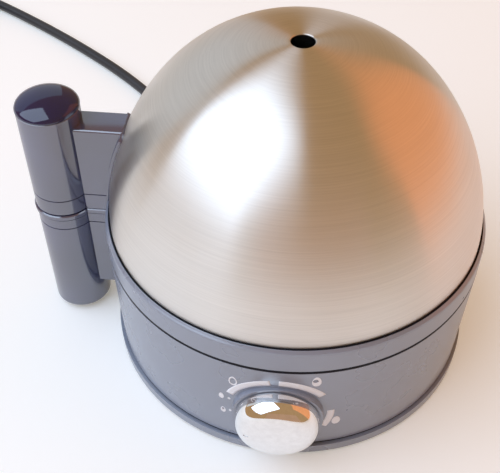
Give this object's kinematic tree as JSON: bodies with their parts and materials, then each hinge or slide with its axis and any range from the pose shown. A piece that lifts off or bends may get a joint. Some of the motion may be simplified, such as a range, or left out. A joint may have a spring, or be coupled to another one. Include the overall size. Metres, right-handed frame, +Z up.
{
  "type": "egg cooker",
  "caption": "Electric egg cooker: brushed steel dome lid with a steam hole, black base and rim, side grip handle in two halves, chromed control knob and mains lead.",
  "frame": {"origin": "on the pot's vertical axis, at the level it stands on", "axes": "+Z up along the pot's axis, the knob faces -Y, the handle points to -X, the cord leaves at the back left"},
  "size_m": [0.5046, 0.4104, 0.1683],
  "materials": {
    "gloss_black": "gloss",
    "matte_black": "matte",
    "dome_steel": "brushed round the axis",
    "bowl_steel": "satin",
    "aluminium": "cast",
    "zinc_steel": "zinc plated",
    "brass": "turned",
    "chrome": "polished",
    "soft_rubber": "satin",
    "silicone": "matte",
    "white_plastic": "matte",
    "brown_wire": "satin",
    "blue_wire": "satin"
  },
  "bodies": {
    "base": {"base_housing": "gloss_black", "bottom_cover": "matte_black", "rubber_foot_1": "soft_rubber", "rubber_foot_2": "soft_rubber", "rubber_foot_3": "soft_rubber", "rubber_foot_4": "soft_rubber", "cover_screw_1": "zinc_steel", "cover_screw_2": "zinc_steel", "cover_screw_3": "zinc_steel", "bowl_gasket": "silicone", "heating_bowl": "bowl_steel", "heat_spreader": "aluminium", "heating_element": "bowl_steel", "thermostat": "bowl_steel", "thermostat_bracket": "bowl_steel", "thermal_fuse": "zinc_steel", "heat_shield": "bowl_steel", "stud_nut_1": "zinc_steel", "stud_nut_2": "zinc_steel", "control_regulator": "matte_black", "regulator_nut": "brass", "cord_gland": "soft_rubber", "inner_cable": "soft_rubber", "cord_clamp": "matte_black", "terminal_block": "white_plastic", "wire_supply": "brown_wire", "wire_live": "brown_wire", "wire_element": "brown_wire", "wire_neutral": "blue_wire", "power_cord": "soft_rubber", "cord_coil": "soft_rubber", "cord_tail": "soft_rubber", "plug_body": "soft_rubber", "plug_pin_1": "chrome", "plug_pin_2": "chrome", "plug_earth_clips": "chrome", "coil_tie": "matte_black"},
    "knob": {"knob_shell": "chrome", "knob_core": "matte_black", "shaft_clip": "bowl_steel", "regulator_shaft": "zinc_steel"},
    "egg_tray": {"egg_tray": "gloss_black", "tray_handle_shell": "gloss_black", "tray_handle_collar": "gloss_black", "tray_handle_plug": "matte_black", "tray_handle_screw_1": "zinc_steel", "tray_handle_screw_2": "zinc_steel"},
    "lid": {"lid_dome": "dome_steel", "lid_handle_shell": "gloss_black", "lid_handle_collar": "gloss_black", "lid_handle_cap": "gloss_black", "lid_backing_plate": "bowl_steel", "lid_handle_screw_1": "zinc_steel", "lid_handle_screw_2": "zinc_steel"}
  },
  "joints": [
    {"name": "knob_turn", "type": "hinge", "parent": "base", "child": "knob", "pos_m": [0, -0.0916, 0.0337], "axis": [0, 1, 0], "range_deg": [0, 224]},
    {"name": "tray_lift", "type": "slide", "parent": "base", "child": "egg_tray", "axis": [0, 0, 1], "range_m": [0, 0.12]},
    {"name": "lid_lift", "type": "slide", "parent": "egg_tray", "child": "lid", "axis": [0, 0, 1], "range_m": [0, 0.13]}
  ]
}
